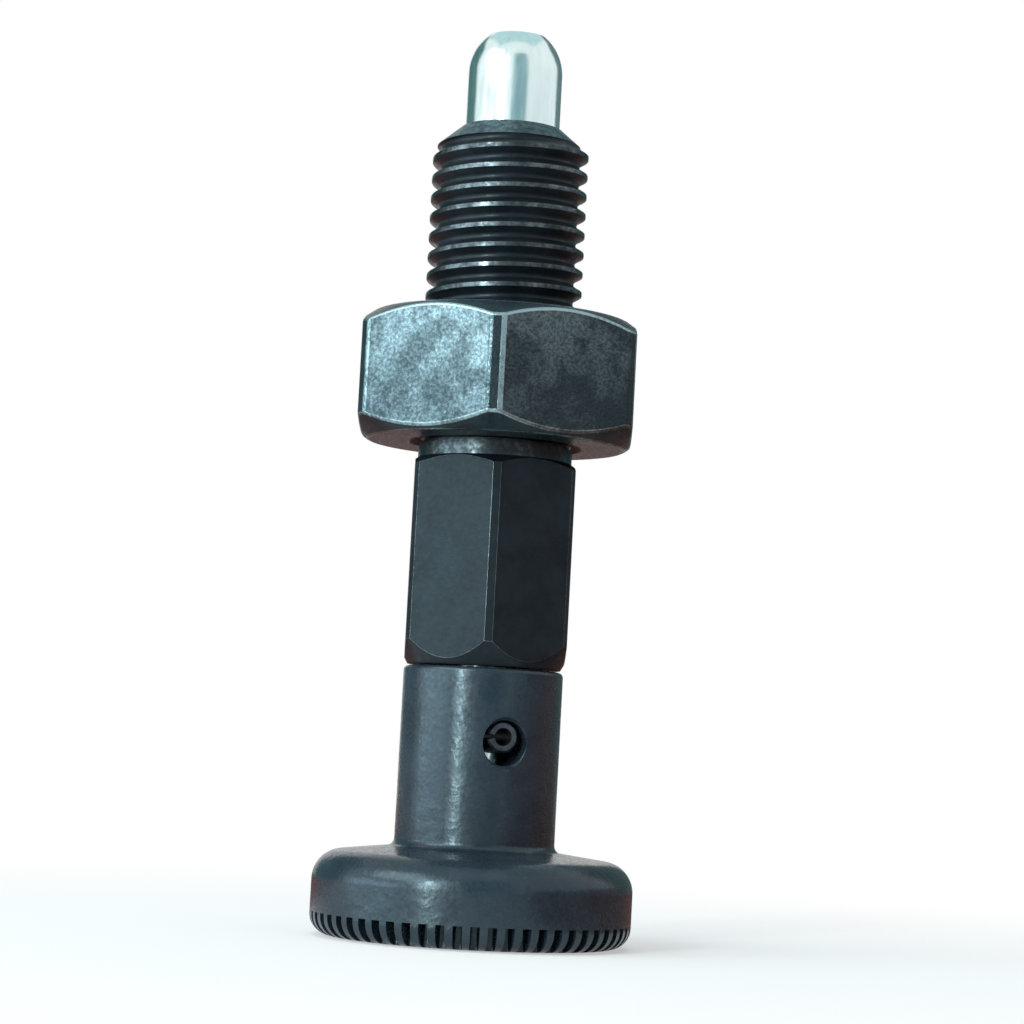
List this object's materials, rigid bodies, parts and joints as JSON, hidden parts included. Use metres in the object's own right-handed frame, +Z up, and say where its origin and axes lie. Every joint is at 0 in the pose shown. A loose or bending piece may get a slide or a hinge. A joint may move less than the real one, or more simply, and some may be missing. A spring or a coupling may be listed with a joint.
{
  "type": "indexing plunger",
  "caption": "Indexing plunger: a spring-loaded pin in a threaded guide with a hexagon and a lock nut, pulled back by a mushroom knob.",
  "frame": {"origin": "middle of the knob's flat end, on the axis, where the plunger stands", "axes": "+Z runs up the axis from the knob to the pin's nose; two corners of the body's hexagon lie on the Y axis, and -Y is the front"},
  "size_m": [0.02, 0.02, 0.0572],
  "materials": {
    "blackened_steel": "black oxide, satin",
    "blackened_nut": "black oxide, satin, light wear",
    "ground_steel": "ground, bright",
    "spring_steel": "drawn spring wire",
    "black_plastic": "moulded, satin",
    "spring_pin_steel": "rolled spring steel, dull"
  },
  "bodies": {
    "guide": {"guide_body": "blackened_steel"},
    "nut": {"lock_nut": "blackened_nut"},
    "carrier": {"spring": "spring_steel"},
    "plunger": {"plunger_pin": "ground_steel", "cross_pin": "spring_pin_steel", "knob": "black_plastic"}
  },
  "joints": [
    {"name": "plunger_pull", "type": "slide", "parent": "guide", "child": "carrier", "axis": [0, 0, -1], "range_m": [0, 0.006], "stiffness_N_per_m": 2000, "springref_m": -0.003, "deforming": ["spring"]},
    {"name": "knob_turn", "type": "hinge", "parent": "carrier", "child": "plunger", "pos_m": [0, 0, 0.0127], "axis": [0, 0, 1], "continuous": true},
    {"name": "nut_travel", "type": "slide", "parent": "guide", "child": "nut", "axis": [0, 0, 1], "range_m": [0, 0.01]}
  ]
}
